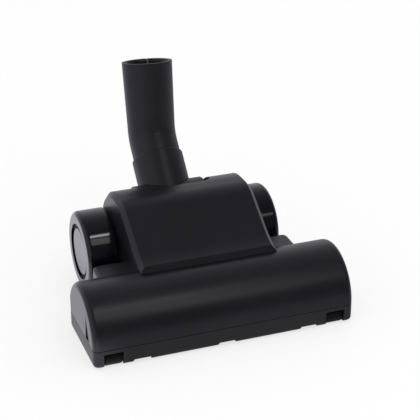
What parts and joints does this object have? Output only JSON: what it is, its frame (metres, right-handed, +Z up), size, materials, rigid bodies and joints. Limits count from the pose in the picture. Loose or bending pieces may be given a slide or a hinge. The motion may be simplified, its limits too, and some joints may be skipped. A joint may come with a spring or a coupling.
{
  "type": "vacuum turbo brush",
  "caption": "Air-driven floor brush: broad rounded nose with a brush roll, hooded turbine, rear wheels and a tilting, swivelling bent neck for a 35 mm wand.",
  "frame": {"origin": "on the floor under the middle of the whole brush", "axes": "+X along the nose, +Y from the nose back to the neck, +Z up from the floor"},
  "size_m": [0.21, 0.2174, 0.1668],
  "materials": {
    "body_gloss": "glossy black",
    "body_matte": "satin black",
    "wheel_plastic": "glossy black",
    "sole_plastic": "fine satin dark grey",
    "inner_plastic": "matte grey",
    "bearing_plastic": "natural white",
    "bronze": "sintered bronze",
    "steel": "ground",
    "bristle": "dense short bristle",
    "belt_rubber": "matte"
  },
  "bodies": {
    "housing": {"lower_housing": "body_matte", "upper_housing": "body_gloss", "hood_cover": "body_gloss", "sole_plate": "sole_plastic", "turbine_case": "inner_plastic", "turbine_bearing_left": "bronze", "turbine_bearing_right": "bronze", "belt_cover": "inner_plastic", "drive_belt": "belt_rubber", "roll_bearing_left": "bronze", "roll_bearing_right": "bronze", "bearing_holder_left": "inner_plastic", "bearing_holder_right": "inner_plastic", "pivot_bush_left": "bearing_plastic", "pivot_bush_right": "bearing_plastic", "wheel_axle_left": "steel", "wheel_axle_right": "steel", "roller_pin_left": "steel", "roller_pin_right": "steel", "housing_screws": "steel", "hood_screws": "steel", "plate_screws": "steel"},
    "neck": {"pivot_drum": "body_matte", "neck_sleeve": "body_gloss"},
    "swivel_tube": {"neck_spigot": "body_gloss", "neck_elbow": "body_gloss", "neck_tube": "body_gloss", "snap_ring": "steel"},
    "brush_roll": {"roll_core": "inner_plastic", "bristle_strips": "bristle", "roll_axle": "steel"},
    "turbine": {"turbine_rotor": "inner_plastic", "turbine_shaft": "steel", "turbine_pulley": "inner_plastic"},
    "left_wheel": {"wheel_left": "wheel_plastic", "hub_cap_left": "wheel_plastic"},
    "right_wheel": {"wheel_right": "wheel_plastic", "hub_cap_right": "wheel_plastic"},
    "left_front_roller": {"front_roller_left": "body_matte"},
    "right_front_roller": {"front_roller_right": "body_matte"}
  },
  "joints": [
    {"name": "neck_tilt", "type": "hinge", "parent": "housing", "child": "neck", "pos_m": [0, 0.02428, 0.05075], "axis": [-1, 0, 0], "range_deg": [-40, 45]},
    {"name": "tube_swivel", "type": "hinge", "parent": "neck", "child": "swivel_tube", "pos_m": [0, 0.02428, 0.05075], "axis": [0, 0.6984, 0.7157], "continuous": true},
    {"name": "roll_spin", "type": "hinge", "parent": "housing", "child": "brush_roll", "pos_m": [0, -0.07253, 0.023], "axis": [1, 0, 0], "continuous": true},
    {"name": "turbine_spin", "type": "hinge", "parent": "housing", "child": "turbine", "pos_m": [0, -0.02372, 0.044], "axis": [1, 0, 0], "continuous": true},
    {"name": "left_wheel_spin", "type": "hinge", "parent": "housing", "child": "left_wheel", "pos_m": [0, 0.01738, 0.033], "axis": [1, 0, 0], "continuous": true},
    {"name": "right_wheel_spin", "type": "hinge", "parent": "housing", "child": "right_wheel", "pos_m": [0, 0.01738, 0.033], "axis": [1, 0, 0], "continuous": true},
    {"name": "left_roller_spin", "type": "hinge", "parent": "housing", "child": "left_front_roller", "pos_m": [0, -0.10212, 0.0056], "axis": [1, 0, 0], "continuous": true},
    {"name": "right_roller_spin", "type": "hinge", "parent": "housing", "child": "right_front_roller", "pos_m": [0, -0.10212, 0.0056], "axis": [1, 0, 0], "continuous": true}
  ],
  "couplings": [
    {"joint": "turbine_spin", "follows": "roll_spin", "ratio": 2.1154}
  ]
}
